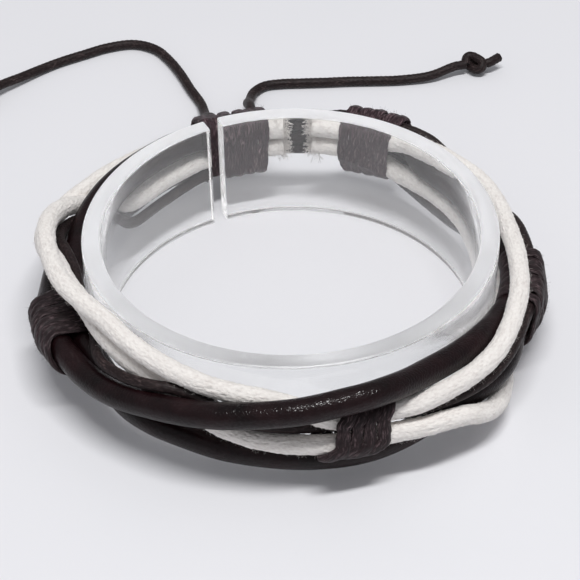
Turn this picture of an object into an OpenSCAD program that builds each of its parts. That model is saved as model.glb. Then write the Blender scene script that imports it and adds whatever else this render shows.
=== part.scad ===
// Layered leather bracelet, closed round a clear display ring.
// Two leather cords, two twisted white cords and one waxed cord run round the ring.
// Five waxed wraps bind them, and two tails of the sliding closure lie on the surface behind.
// Origin: the ring's axis where it meets the surface. +Z is up, +X to the right, +Y away from the viewer.

/* [Display ring] */

// outside diameter
ring_outside = 65; // [60:0.5:72]
// inside diameter, the hollow that a wrist or a post goes through
ring_inside = 59; // [54:0.5:66]
// height
ring_height = 20; // [18:0.5:30]
// width of the slit that lets the ring spring open
slit_width = 2.4; // [0.8:0.1:3]
// where the slit stands, as an angle from the right hand side
slit_angle = 114; // [110:0.5:116]

/* [Cords] */

// diameter of the two leather cords
leather_diameter = 4; // [3:0.1:4]
// diameter of the two twisted white cords
white_diameter = 3; // [2:0.1:3]
// diameter of the waxed cord, of the drawcords and of the tails
waxed_diameter = 1.8; // [1.2:0.1:1.8]
// sides of a cord's section
cord_sides = 8; // [6:1:12]
// largest angle between two sections of a cord that goes round the ring
cord_step = 5.5; // [4:0.5:8]

/* [Wraps] */

// thickness of a wrap on its outer side
wrap_thickness = 0.7; // [0.5:0.05:0.9]
// thickness of a wrap between its cords and the ring
wrap_inner_thickness = 0.15; // [0.1:0.05:0.2]
// how deep the grooves between the turns go
groove_depth = 0.3; // [0.1:0.05:0.5]
// room between a wrap and the cords that it binds
wrap_clearance = 0.22; // [0.18:0.01:0.24]
// sides of a wrap's section
wrap_sides = 14; // [12:1:20]

/* [Front wrap] */

// first angle
front_from = 277.5; // [277:0.5:279]
// last angle
front_to = 289.5; // [289:0.5:291]
// turns
front_turns = 4; // [3:1:6]
// how many degrees its lower edge runs behind its middle
front_lean = 3.5; // [0:0.5:4]

/* [Left wrap] */

// first angle
left_from = 191; // [189:0.5:192]
// last angle
left_to = 208.5; // [206:0.5:209]
// turns
left_turns = 6; // [4:1:8]
// how many degrees its lower edge runs ahead of its middle
left_lean = 3; // [0:0.5:4]

/* [Right wrap] */

// first angle
right_from = 340; // [338:0.5:342]
// last angle
right_to = 359; // [356:0.5:362]
// turns
right_turns = 6; // [4:1:8]
// how many degrees its lower edge runs behind its middle
right_lean = 2; // [0:0.5:4]

/* [Closure] */

// first angle of the wrap to the left of the closure
closure_left_from = 96; // [95:0.5:97]
// last angle of the wrap to the left of the closure
closure_left_to = 115.5; // [113:0.5:117]
// turns of the wrap to the left of the closure
closure_left_turns = 6; // [4:1:8]
// first angle of the wrap to the right of the closure
closure_right_from = 57.5; // [57:0.5:60]
// last angle of the wrap to the right of the closure
closure_right_to = 75.5; // [74.5:0.5:76]
// turns of the wrap to the right of the closure
closure_right_turns = 5; // [4:1:8]

/* [Tails] */

// diameter of the knot at each tail's end
knot_diameter = 3.8; // [3.4:0.1:4]
// length of the knot
knot_length = 3.6; // [3:0.1:5]
// length of the bare end behind the knot
stub_length = 3.4; // [1:0.1:6]

/* [Hidden] */

ring_radius = ring_outside / 2;
bore_radius = ring_inside / 2;
leather_radius = leather_diameter / 2;
white_radius = white_diameter / 2;
waxed_radius = waxed_diameter / 2;

// Routes round the ring. Angle from the right hand side, distance outside the ring, height.
// An angle over 360 has gone past the right hand side.
leather_upper_route = [
    // angle, out, height
    [104, 5.6, 8.2], [112, 5.6, 8.2], [120, 5.4, 8], [130, 5.2, 7.8], [141, 5.3, 7.2],
    [152, 6, 6.9], [159, 6.1, 7.8], [168, 5.6, 8.9], [178, 5.4, 9.3], [184, 5.7, 9.2],
    [190, 6.3, 9.7], [196, 6.5, 10.3], [203, 6.5, 10.7], [209, 6.3, 10.7], [218, 6, 10.5],
    [226, 5.7, 11], [235, 5.3, 12.1], [242, 5.3, 13.1], [250, 5.3, 14.05], [257, 5.3, 14.95],
    [264, 5.4, 15.85], [271, 5.5, 16.65], [280, 5.2, 17.4], [286, 5, 17.6], [292, 4.2, 17.1],
    [298, 3.1, 16.1], [304, 2.3, 15.4], [311, 2.1, 15], [323, 2.1, 14.2], [331, 2.1, 13.2],
    [337, 2.2, 12.5], [343, 2.6, 11.9], [360, 2.6, 11.6], [368, 2.4, 11.8], [376, 2.1, 12.2],
    [383, 2.1, 12.4], [391, 2.1, 12.7], [400, 2.1, 12.85], [406, 2.5, 12.8], [410, 3.6, 12.3],
    [414, 5.2, 11.8], [419, 6.1, 11.7], [431.5, 6.1, 11.7]
];

leather_lower_route = [
    // angle, out, height
    [104, 2.6, 14.8], [112, 2.6, 14.8], [118, 2.4, 15.2], [125, 2.1, 15.5], [131, 2.1, 15.3],
    [146, 2.1, 15], [152, 2.1, 14.8], [160, 2.1, 14.2], [166, 2.1, 13.5], [172, 2.1, 12.7],
    [180, 2.3, 11.8], [186, 2.5, 11.4], [192, 2.5, 11], [198, 2.5, 10.6], [204, 2.5, 10.1],
    [209, 2.4, 9.5], [219, 2.7, 8.1], [227, 3.5, 7.4], [235, 3.8, 7.3], [243, 3, 6.3],
    [252, 2.3, 5.1], [262, 2.1, 4.7], [274, 2.1, 4.2], [288, 2.1, 3.9], [298, 2.3, 4.7],
    [303, 2.5, 5.4], [310, 2.7, 6.3], [317, 3.6, 6.8], [323, 4.2, 7.1], [328, 4.6, 7.5],
    [333, 4.5, 8], [338, 4, 8.4], [343, 4.2, 8], [348, 4.7, 7.8], [354, 5.2, 7.8],
    [360, 5.5, 7.8], [368, 5.5, 7.6], [376, 5.3, 6.9], [386, 4.6, 6.2], [396, 4.1, 5.6],
    [406, 4.6, 5.6], [414, 5.4, 6.2], [420, 6, 7], [431.5, 6, 7.2]
];

white_cord_a_route = [
    // angle, out, height
    [91.5, 2.4, 11], [97, 2.4, 10.9], [107, 2.4, 10.9], [116, 2.3, 11], [122, 1.7, 11.1],
    [130, 1.7, 10.7], [139, 1.7, 10.4], [145, 2.5, 10.2], [149, 4, 10.5], [154, 5.5, 12.2],
    [159, 6, 14.2], [166, 6.2, 16.5], [172, 6.1, 18], [178, 5.8, 18.9], [184, 5.3, 19.4],
    [190, 4.8, 19.6], [200, 3.9, 19.6], [209, 2.6, 19.4], [217, 1.7, 19], [225, 1.7, 18.4],
    [240, 1.7, 17.1], [248, 1.7, 16.4], [255, 1.7, 15.9], [264, 1.7, 15.2], [271, 2.2, 14.2],
    [276, 3.2, 13.2], [281, 3.6, 12.4], [292, 3.8, 12.4], [299, 5, 13], [304, 5.2, 13.3],
    [310, 5.4, 13.5], [317, 5.7, 13.9], [323, 5.7, 14.7], [330, 5.1, 15.3], [336, 4.5, 15.6],
    [342, 4, 15.9], [350, 3.2, 16], [358, 2.6, 16], [366, 2.3, 15.8], [374, 2.4, 15.8],
    [380, 2.6, 15.9], [387, 2.5, 16.2], [395, 1.9, 16.4], [403, 1.7, 16.4], [408, 1.7, 16.2],
    [413, 2, 15.8], [418, 2.2, 14.9], [424, 2.4, 14.6], [434, 2.4, 14.7], [443, 2.4, 14.8]
];

white_cord_b_route = [
    // angle, out, height
    [91.5, 2.5, 14.4], [97.5, 2.6, 14.3], [100, 4.2, 13.8], [103, 5.6, 12.5], [112, 5.7, 12.1],
    [120, 5.8, 12.4], [130, 5.9, 12.7], [140, 6.6, 12.7], [149, 7.8, 12], [154, 8.6, 11.5],
    [159, 8.4, 12], [166, 7.8, 13.4], [172, 7.3, 14.7], [178, 6.2, 15.6], [182, 5, 16.1],
    [187, 3.8, 16.5], [194, 3, 16.9], [201, 2.1, 16.9], [208, 1.7, 16.6], [214, 1.7, 15.8],
    [220, 1.7, 15.1], [227, 1.7, 14.5], [235, 1.7, 13.2], [242, 1.7, 11.6], [250, 1.9, 9.4],
    [258, 3.1, 9.2], [263, 3.8, 9.2], [271, 4.4, 9.1], [279, 4.8, 9.1], [292, 5, 9],
    [299, 6.1, 9.1], [304, 6.6, 8.9], [310, 7.1, 8], [314, 7.3, 6.6], [318, 7.1, 5.2],
    [323, 6.3, 4], [327, 5.4, 3.2], [332, 4.3, 2.6], [338, 2.8, 2.1], [345, 2.3, 2.2],
    [353, 2.2, 2.9], [361, 2, 4.4], [372, 1.7, 6.6], [385, 1.7, 8.6], [398, 1.7, 9.2],
    [414, 2.15, 9.2], [420, 2.3, 9.8], [428, 2.4, 10.8], [434, 2.4, 11.3], [443, 2.4, 11.4]
];

waxed_cord_route = [
    // angle, out, height
    [98, 2.2, 7.9], [112, 2.2, 7.9], [118, 1.6, 8.1], [124, 1.1, 7.9], [132, 1.1, 7.2],
    [143, 1.1, 7], [148, 1.7, 7.6], [153, 3, 9.7], [159, 4.6, 11.8], [166, 5.2, 13.4],
    [170, 4.95, 14.1], [174, 4.4, 15], [180, 2.7, 15.6], [187, 1.4, 15.4], [195, 1.1, 14.8],
    [201, 1.1, 14], [208, 1.4, 12.9], [213, 2.7, 13], [219, 4.1, 13.4], [227, 4.35, 14],
    [235, 3.95, 14.8], [239, 3.3, 15], [243, 2.5, 14.5], [250, 2.3, 13.5], [258, 3.2, 11.9],
    [264, 3.3, 11.6], [271, 3, 11.1], [276, 2.7, 10.7], [281, 2.3, 10.2], [292, 2.4, 10.1],
    [299, 3.9, 10.6], [304, 4.6, 10.7], [310, 5.4, 10.8], [317, 6.3, 11.3], [323, 6.6, 12.2],
    [331, 6.2, 12.8], [337, 5.8, 12.6], [343, 5.7, 12.2], [350, 5.6, 12.2], [358, 5.5, 12.5],
    [366, 5.2, 13.1], [375, 5.2, 12.6], [385, 4.85, 10.9], [394, 4.8, 10.7], [402, 5.25, 12.6], [406, 5.25, 14.1],
    [411, 5.3, 15.2], [420, 4.8, 15.9], [433, 4.8, 15.9]
];

// Each drawcord is doubled: out and back between the two closure wraps.
drawcord_upper_route = [
    // angle, out, height
    [98.5, 6, 14.3], [94, 5.8, 14.4], [86, 5.4, 14.5], [79, 5.8, 14.7], [75.2, 6, 15],
    [73.6, 6, 14.3], [75.2, 6, 13.5], [79, 5.8, 13.1], [86, 5.4, 12.6], [94, 5.8, 12.3],
    [98.5, 6, 12.2]
];

drawcord_lower_route = [
    // angle, out, height
    [98.5, 6, 10.2], [94, 5.8, 10.2], [86, 5.4, 10.4], [79, 5.8, 10.9], [75.2, 6, 11],
    [73.6, 6, 10.2], [75.2, 6, 9.4], [79, 5.8, 8.9], [86, 5.4, 8.3], [94, 5.8, 8.1],
    [98.5, 6, 8]
];

// Routes of the two tails, as points in space. Both end in a knot.
tail_left_route = [
    // x, y, z
    [-12.4, 39.2, 11.6], [-13.5, 43.6, 10.4], [-14.6, 50, 6.2], [-15.4, 56.6, 2.2], [-16.4, 62, 1.1],
    [-18.5, 67, 1], [-20.6, 72.4, 1], [-23, 77.4, 1], [-26, 81.6, 1], [-30.4, 83.6, 1],
    [-35.4, 82.6, 1], [-40, 80.2, 1], [-44.6, 77.6, 1], [-48.2, 74.9, 1.1], [-51.8, 71.5, 1.5],
    [-55.3, 68.1, 2], [-57.4, 65.4, 2]
];

tail_right_route = [
    // x, y, z
    [-6.4, 40.6, 13.4], [-6.8, 44.8, 12.4], [-7.2, 50.4, 9], [-7.4, 56, 5], [-7.2, 61.4, 2],
    [-6.4, 65.6, 1.1], [-4.4, 67.8, 1], [-1.2, 68.5, 1], [2.4, 68.6, 1], [7, 68.7, 1],
    [12.1, 68.9, 1], [17, 68.9, 1], [21.7, 69, 1], [27.6, 69.8, 1.3], [32.4, 71.8, 2],
    [34.6, 72.4, 2]
];

function unit(v) = v / norm(v);

// the row of a route whose stretch holds an angle
function stretch(rows, a, i = 0) =
    i >= len(rows) - 2 || a < rows[i + 1][0] ? i : stretch(rows, a, i + 1);

// the slope of one column of a route at one of its rows
function slope(rows, i, k) =
    let (lo = max(i - 1, 0), hi = min(i + 1, len(rows) - 1))
    (rows[hi][k] - rows[lo][k]) / (rows[hi][0] - rows[lo][0]);

// one column of a route at an angle, on a smooth curve through the rows
function column(rows, a, k) =
    let (i = stretch(rows, a), span = rows[i + 1][0] - rows[i][0])
    let (u = min(max((a - rows[i][0]) / span, 0), 1))
    rows[i][k] * (2 * u * u * u - 3 * u * u + 1)
    + rows[i + 1][k] * (3 * u * u - 2 * u * u * u)
    + slope(rows, i, k) * span * (u * u * u - 2 * u * u + u)
    + slope(rows, i + 1, k) * span * (u * u * u - u * u);

// a point round the ring
function round_ring(a, out, height) =
    [(ring_radius + out) * cos(a), (ring_radius + out) * sin(a), height];

// the angles at which a looped cord is drawn
function steps(rows) =
    let (from = rows[0][0], to = rows[len(rows) - 1][0], n = ceil((to - from) / cord_step))
    [for (i = [0 : n]) from + (to - from) * i / n];

// the path of a looped cord
function loop_path(rows) =
    [for (a = steps(rows)) round_ring(a, column(rows, a, 1), column(rows, a, 2))];

// the path of a drawcord, straight from row to row
function row_path(rows) =
    [for (row = rows) round_ring(row[0], row[1], row[2])];

// points of a tube; each side direction is a direction that its path never takes
function tube_points(path, sides_from, r) =
    [for (i = [0 : len(path) - 1])
        let (t = unit(path[min(i + 1, len(path) - 1)] - path[max(i - 1, 0)]))
        let (b = unit(cross(t, sides_from[i])), n = cross(b, t))
        for (k = [0 : cord_sides - 1])
            path[i] + r * (cos(360 * k / cord_sides) * n + sin(360 * k / cord_sides) * b)];

// the walls between rings of points; from and count pick the rings, turned swaps the wall's face
function walls(first, rings, sides, turned) =
    [for (i = [0 : rings - 2], k = [0 : sides - 1])
        let (p = first + i * sides + k, q = first + i * sides + (k + 1) % sides)
        each turned
            ? [[p, q + sides, p + sides], [p, q, q + sides]]
            : [[p, p + sides, q + sides], [p, q + sides, q]]];

// a closed tube along a path
module tube(path, sides_from, r) {
    count = len(path);
    last = (count - 1) * cord_sides;
    faces = concat(
        [[for (k = [0 : cord_sides - 1]) k]],
        walls(0, count, cord_sides, false),
        [[for (k = [cord_sides - 1 : -1 : 0]) last + k]]
    );
    polyhedron(points = tube_points(path, sides_from, r), faces = faces, convexity = 10);
}

// a cord that goes round the ring
module looped_cord(rows, r) {
    tube(loop_path(rows), [for (a = steps(rows)) [cos(a), sin(a), 0]], r);
}

// a doubled cord between the closure wraps
module drawcord(rows) {
    tube(row_path(rows), [for (row = rows) [cos(row[0]), sin(row[0]), 0]], waxed_radius);
}

// a tail, which lies on the surface
module tail(path) {
    tube(path, [for (p = path) [0, 0, 1]], waxed_radius);
}

// the cords that a wrap binds, as circles [out, height, radius] at an angle
function bound(cords, a) =
    [for (cord = cords) [column(cord[0], a, 1), column(cord[0], a, 2), cord[1]]];

// how far a circle reaches in a direction of a wrap's section
function reach(circle, d) = circle[0] * cos(d) + circle[1] * sin(d) + circle[2];

// the circle that reaches furthest
function furthest(circles, d, i = 0, best = 0) =
    i >= len(circles) ? best
    : furthest(circles, d, i + 1, reach(circles[i], d) > reach(circles[best], d) ? i : best);

// one point of a wrap, grown out of the circle that reaches furthest
function wrap_point(cords, a, d, grow) =
    let (circles = bound(cords, a), c = circles[furthest(circles, d)])
    round_ring(a, c[0] + (c[2] + grow) * cos(d), c[1] + (c[2] + grow) * sin(d));

// thickness of a wrap in a direction: thin against the ring, thinner in a groove
function thickness(d, groove) =
    wrap_clearance + wrap_inner_thickness
    + (wrap_thickness - wrap_inner_thickness - groove) * (1 + cos(d)) / 2;

// a hollow sleeve of turns round its cords; lean shifts its lower edge along the cords
module wrap(cords, from, to, turns, lean = 0) {
    rings = 2 * turns + 1;
    directions = [for (k = [0 : wrap_sides - 1]) 360 * k / wrap_sides];
    outer = [for (i = [0 : rings - 1], d = directions)
        wrap_point(cords, from + (to - from) * i / (rings - 1) - lean * sin(d), d,
            thickness(d, i % 2 == 0 ? groove_depth : 0))];
    inner = [for (i = [0 : rings - 1], d = directions)
        wrap_point(cords, from + (to - from) * i / (rings - 1) - lean * sin(d), d, wrap_clearance)];
    count = rings * wrap_sides;
    last = count - wrap_sides;
    faces = concat(
        walls(0, rings, wrap_sides, true),
        walls(count, rings, wrap_sides, false),
        [for (k = [0 : wrap_sides - 1]) let (m = (k + 1) % wrap_sides)
            each [[k, count + k, count + m], [k, count + m, m]]],
        [for (k = [0 : wrap_sides - 1]) let (m = (k + 1) % wrap_sides)
            each [[last + k, count + last + m, count + last + k], [last + k, last + m, count + last + m]]]
    );
    polyhedron(points = concat(outer, inner), faces = faces, convexity = 10);
}

leather_upper_cord = [leather_upper_route, leather_radius];
leather_lower_cord = [leather_lower_route, leather_radius];
white_a_cord = [white_cord_a_route, white_radius];
white_b_cord = [white_cord_b_route, white_radius];
waxed_cord_cord = [waxed_cord_route, waxed_radius];
all_cords = [leather_upper_cord, leather_lower_cord, white_a_cord, white_b_cord, waxed_cord_cord];

// the room that the drawcords need inside the closure wraps
drawcord_room = [
    [[[90, 6, 14.3], [120, 6, 14.3], [415, 6, 15.3], [440, 6, 15.3]], waxed_radius],
    [[[90, 6, 8.1], [120, 6, 8.1], [415, 6, 9.2], [440, 6, 9.2]], waxed_radius]
];

// the knot and the bare end behind it, along a tail's last stretch
module knot(path) {
    end = path[len(path) - 1];
    t = unit(end - path[len(path) - 2]);
    translate(end + 0.1 * t)
        rotate([0, 90 - asin(t[2]), atan2(t[1], t[0])])
            rotate_extrude($fn = 24)
                polygon([
                    [0, 0],
                    [0.28 * knot_diameter, 0],
                    [0.44 * knot_diameter, 0.18 * knot_length],
                    [0.5 * knot_diameter, 0.45 * knot_length],
                    [0.42 * knot_diameter, 0.8 * knot_length],
                    [waxed_radius, knot_length],
                    [waxed_radius, knot_length + stub_length],
                    [0, knot_length + stub_length]
                ]);
}

module display_ring() {
    color([0.93, 0.94, 0.94, 0.35])
        difference() {
            cylinder(h = ring_height, r = ring_radius, $fn = 128);
            translate([0, 0, -1])
                cylinder(h = ring_height + 2, r = bore_radius, $fn = 128);
            rotate([0, 0, slit_angle])
                translate([bore_radius - 2, -slit_width / 2, -1])
                    cube([ring_radius - bore_radius + 4, slit_width, ring_height + 2]);
        }
}

module leather_upper() {
    color([0.1, 0.08, 0.07])
        looped_cord(leather_upper_route, leather_radius);
}

module leather_lower() {
    color([0.1, 0.08, 0.07])
        looped_cord(leather_lower_route, leather_radius);
}

module white_cord_a() {
    color([0.92, 0.89, 0.86])
        looped_cord(white_cord_a_route, white_radius);
}

module white_cord_b() {
    color([0.92, 0.89, 0.86])
        looped_cord(white_cord_b_route, white_radius);
}

module waxed_cord() {
    color([0.2, 0.16, 0.15])
        looped_cord(waxed_cord_route, waxed_radius);
}

module wrap_front() {
    color([0.2, 0.16, 0.15])
        wrap([white_a_cord, white_b_cord, waxed_cord_cord], front_from, front_to,
            front_turns, -front_lean);
}

module wrap_left() {
    color([0.2, 0.16, 0.15])
        wrap([leather_upper_cord, leather_lower_cord], left_from, left_to, left_turns, left_lean);
}

module wrap_right() {
    color([0.2, 0.16, 0.15])
        wrap([leather_upper_cord, leather_lower_cord, waxed_cord_cord], right_from, right_to,
            right_turns, -right_lean);
}

module closure_wrap_left() {
    color([0.2, 0.16, 0.15])
        wrap(concat(all_cords, drawcord_room), closure_left_from, closure_left_to, closure_left_turns);
}

module closure_wrap_right() {
    color([0.2, 0.16, 0.15])
        wrap(concat(all_cords, drawcord_room), closure_right_from + 360, closure_right_to + 360,
            closure_right_turns);
}

module drawcord_upper() {
    color([0.2, 0.16, 0.15])
        drawcord(drawcord_upper_route);
}

module drawcord_lower() {
    color([0.2, 0.16, 0.15])
        drawcord(drawcord_lower_route);
}

module tail_left() {
    color([0.2, 0.16, 0.15])
        tail(tail_left_route);
}

module tail_right() {
    color([0.2, 0.16, 0.15])
        tail(tail_right_route);
}

module knot_left() {
    color([0.2, 0.16, 0.15])
        knot(tail_left_route);
}

module knot_right() {
    color([0.2, 0.16, 0.15])
        knot(tail_right_route);
}

display_ring();
leather_upper();
leather_lower();
white_cord_a();
white_cord_b();
waxed_cord();
wrap_front();
wrap_left();
wrap_right();
closure_wrap_left();
closure_wrap_right();
drawcord_upper();
drawcord_lower();
tail_left();
tail_right();
knot_left();
knot_right();
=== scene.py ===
"""Looks of the layered leather bracelet, closed round its clear display ring.

Route tables are in millimetres, as in the part's source; every mesh is in metres.
Origin: the ring's axis where it meets the surface, +Z up, +X right, +Y away from the viewer.
"""

import logging
import math
from dataclasses import dataclass, field, fields
from enum import Enum
from functools import reduce
from typing import Any, Sequence

import bpy
import numpy as np
from mathutils import Euler, Matrix, Vector


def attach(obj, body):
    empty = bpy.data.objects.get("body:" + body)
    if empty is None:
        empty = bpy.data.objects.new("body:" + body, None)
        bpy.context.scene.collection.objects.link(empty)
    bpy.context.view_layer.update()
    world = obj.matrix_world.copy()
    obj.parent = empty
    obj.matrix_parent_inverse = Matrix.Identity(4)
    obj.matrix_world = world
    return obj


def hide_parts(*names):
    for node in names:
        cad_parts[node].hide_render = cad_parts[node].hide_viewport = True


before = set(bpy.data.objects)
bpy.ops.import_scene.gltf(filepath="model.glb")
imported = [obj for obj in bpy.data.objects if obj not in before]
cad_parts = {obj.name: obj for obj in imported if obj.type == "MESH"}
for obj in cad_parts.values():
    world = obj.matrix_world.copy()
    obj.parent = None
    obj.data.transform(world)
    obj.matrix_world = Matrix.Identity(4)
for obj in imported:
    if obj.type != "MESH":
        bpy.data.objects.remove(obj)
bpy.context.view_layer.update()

LOG = logging.getLogger("bracelet")
ROOT = "root"
MM = 0.001
# The display ring's outer radius, in millimetres
RING_RADIUS = 32.5

Rows = Sequence[Sequence[float]]
Array = np.ndarray
Place = tuple[float, float, float]
Colour = tuple[float, float, float, float]
Range = tuple[float, float]


# ---------------------------------------------------------------------------
# Routes, in millimetres: angle from the right hand side, distance outside the ring, height
# ---------------------------------------------------------------------------

LEATHER_UPPER_ROUTE: Rows = (
    (104, 5.6, 8.2), (112, 5.6, 8.2), (120, 5.4, 8), (130, 5.2, 7.8), (141, 5.3, 7.2),
    (152, 6, 6.9), (159, 6.1, 7.8), (168, 5.6, 8.9), (178, 5.4, 9.3), (184, 5.7, 9.2),
    (190, 6.3, 9.7), (196, 6.5, 10.3), (203, 6.5, 10.7), (209, 6.3, 10.7), (218, 6, 10.5),
    (226, 5.7, 11), (235, 5.3, 12.1), (242, 5.3, 13.1), (250, 5.3, 14.05), (257, 5.3, 14.95),
    (264, 5.4, 15.85), (271, 5.5, 16.65), (280, 5.2, 17.4), (286, 5, 17.6), (292, 4.2, 17.1),
    (298, 3.1, 16.1), (304, 2.3, 15.4), (311, 2.1, 15), (323, 2.1, 14.2), (331, 2.1, 13.2),
    (337, 2.2, 12.5), (343, 2.6, 11.9), (360, 2.6, 11.6), (368, 2.4, 11.8), (376, 2.1, 12.2),
    (383, 2.1, 12.4), (391, 2.1, 12.7), (400, 2.1, 12.85), (406, 2.5, 12.8), (410, 3.6, 12.3),
    (414, 5.2, 11.8), (419, 6.1, 11.7), (431.5, 6.1, 11.7),
)

LEATHER_LOWER_ROUTE: Rows = (
    (104, 2.6, 14.8), (112, 2.6, 14.8), (118, 2.4, 15.2), (125, 2.1, 15.5), (131, 2.1, 15.3),
    (146, 2.1, 15), (152, 2.1, 14.8), (160, 2.1, 14.2), (166, 2.1, 13.5), (172, 2.1, 12.7),
    (180, 2.3, 11.8), (186, 2.5, 11.4), (192, 2.5, 11), (198, 2.5, 10.6), (204, 2.5, 10.1),
    (209, 2.4, 9.5), (219, 2.7, 8.1), (227, 3.5, 7.4), (235, 3.8, 7.3), (243, 3, 6.3),
    (252, 2.3, 5.1), (262, 2.1, 4.7), (274, 2.1, 4.2), (288, 2.1, 3.9), (298, 2.3, 4.7),
    (303, 2.5, 5.4), (310, 2.7, 6.3), (317, 3.6, 6.8), (323, 4.2, 7.1), (328, 4.6, 7.5),
    (333, 4.5, 8), (338, 4, 8.4), (343, 4.2, 8), (348, 4.7, 7.8), (354, 5.2, 7.8),
    (360, 5.5, 7.8), (368, 5.5, 7.6), (376, 5.3, 6.9), (386, 4.6, 6.2), (396, 4.1, 5.6),
    (406, 4.6, 5.6), (414, 5.4, 6.2), (420, 6, 7), (431.5, 6, 7.2),
)

WHITE_CORD_A_ROUTE: Rows = (
    (91.5, 2.4, 11), (97, 2.4, 10.9), (107, 2.4, 10.9), (116, 2.3, 11), (122, 1.7, 11.1),
    (130, 1.7, 10.7), (139, 1.7, 10.4), (145, 2.5, 10.2), (149, 4, 10.5), (154, 5.5, 12.2),
    (159, 6, 14.2), (166, 6.2, 16.5), (172, 6.1, 18), (178, 5.8, 18.9), (184, 5.3, 19.4),
    (190, 4.8, 19.6), (200, 3.9, 19.6), (209, 2.6, 19.4), (217, 1.7, 19), (225, 1.7, 18.4),
    (240, 1.7, 17.1), (248, 1.7, 16.4), (255, 1.7, 15.9), (264, 1.7, 15.2), (271, 2.2, 14.2),
    (276, 3.2, 13.2), (281, 3.6, 12.4), (292, 3.8, 12.4), (299, 5, 13), (304, 5.2, 13.3),
    (310, 5.4, 13.5), (317, 5.7, 13.9), (323, 5.7, 14.7), (330, 5.1, 15.3), (336, 4.5, 15.6),
    (342, 4, 15.9), (350, 3.2, 16), (358, 2.6, 16), (366, 2.3, 15.8), (374, 2.4, 15.8),
    (380, 2.6, 15.9), (387, 2.5, 16.2), (395, 1.9, 16.4), (403, 1.7, 16.4), (408, 1.7, 16.2),
    (413, 2, 15.8), (418, 2.2, 14.9), (424, 2.4, 14.6), (434, 2.4, 14.7), (443, 2.4, 14.8),
)

WHITE_CORD_B_ROUTE: Rows = (
    (91.5, 2.5, 14.4), (97.5, 2.6, 14.3), (100, 4.2, 13.8), (103, 5.6, 12.5), (112, 5.7, 12.1),
    (120, 5.8, 12.4), (130, 5.9, 12.7), (140, 6.6, 12.7), (149, 7.8, 12), (154, 8.6, 11.5),
    (159, 8.4, 12), (166, 7.8, 13.4), (172, 7.3, 14.7), (178, 6.2, 15.6), (182, 5, 16.1),
    (187, 3.8, 16.5), (194, 3, 16.9), (201, 2.1, 16.9), (208, 1.7, 16.6), (214, 1.7, 15.8),
    (220, 1.7, 15.1), (227, 1.7, 14.5), (235, 1.7, 13.2), (242, 1.7, 11.6), (250, 1.9, 9.4),
    (258, 3.1, 9.2), (263, 3.8, 9.2), (271, 4.4, 9.1), (279, 4.8, 9.1), (292, 5, 9),
    (299, 6.1, 9.1), (304, 6.6, 8.9), (310, 7.1, 8), (314, 7.3, 6.6), (318, 7.1, 5.2),
    (323, 6.3, 4), (327, 5.4, 3.2), (332, 4.3, 2.6), (338, 2.8, 2.1), (345, 2.3, 2.2),
    (353, 2.2, 2.9), (361, 2, 4.4), (372, 1.7, 6.6), (385, 1.7, 8.6), (398, 1.7, 9.2),
    (414, 2.15, 9.2), (420, 2.3, 9.8), (428, 2.4, 10.8), (434, 2.4, 11.3), (443, 2.4, 11.4),
)

WAXED_CORD_ROUTE: Rows = (
    (98, 2.2, 7.9), (112, 2.2, 7.9), (118, 1.6, 8.1), (124, 1.1, 7.9), (132, 1.1, 7.2),
    (143, 1.1, 7), (148, 1.7, 7.6), (153, 3, 9.7), (159, 4.6, 11.8), (166, 5.2, 13.4),
    (170, 4.95, 14.1), (174, 4.4, 15), (180, 2.7, 15.6), (187, 1.4, 15.4), (195, 1.1, 14.8),
    (201, 1.1, 14), (208, 1.4, 12.9), (213, 2.7, 13), (219, 4.1, 13.4), (227, 4.35, 14),
    (235, 3.95, 14.8), (239, 3.3, 15), (243, 2.5, 14.5), (250, 2.3, 13.5), (258, 3.2, 11.9),
    (264, 3.3, 11.6), (271, 3, 11.1), (276, 2.7, 10.7), (281, 2.3, 10.2), (292, 2.4, 10.1),
    (299, 3.9, 10.6), (304, 4.6, 10.7), (310, 5.4, 10.8), (317, 6.3, 11.3), (323, 6.6, 12.2),
    (331, 6.2, 12.8), (337, 5.8, 12.6), (343, 5.7, 12.2), (350, 5.6, 12.2), (358, 5.5, 12.5),
    (366, 5.2, 13.1), (375, 5.2, 12.6), (385, 4.85, 10.9), (394, 4.8, 10.7), (402, 5.25, 12.6),
    (406, 5.25, 14.1), (411, 5.3, 15.2), (420, 4.8, 15.9), (433, 4.8, 15.9),
)

DRAWCORD_UPPER_ROUTE: Rows = (
    (98.5, 6, 14.3), (94, 5.8, 14.4), (86, 5.4, 14.5), (79, 5.8, 14.7), (75.2, 6, 15),
    (73.6, 6, 14.3), (75.2, 6, 13.5), (79, 5.8, 13.1), (86, 5.4, 12.6), (94, 5.8, 12.3),
    (98.5, 6, 12.2),
)

DRAWCORD_LOWER_ROUTE: Rows = (
    (98.5, 6, 10.2), (94, 5.8, 10.2), (86, 5.4, 10.4), (79, 5.8, 10.9), (75.2, 6, 11),
    (73.6, 6, 10.2), (75.2, 6, 9.4), (79, 5.8, 8.9), (86, 5.4, 8.3), (94, 5.8, 8.1),
    (98.5, 6, 8),
)

# Routes of the tails, in millimetres: x, y, z
TAIL_LEFT_ROUTE: Rows = (
    (-12.4, 39.2, 11.6), (-13.5, 43.6, 10.4), (-14.6, 50, 6.2), (-15.4, 56.6, 2.2), (-16.4, 62, 1.1),
    (-18.5, 67, 1), (-20.6, 72.4, 1), (-23, 77.4, 1), (-26, 81.6, 1), (-30.4, 83.6, 1),
    (-35.4, 82.6, 1), (-40, 80.2, 1), (-44.6, 77.6, 1), (-48.2, 74.9, 1.1), (-51.8, 71.5, 1.5),
    (-55.3, 68.1, 2), (-57.4, 65.4, 2),
)

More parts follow.
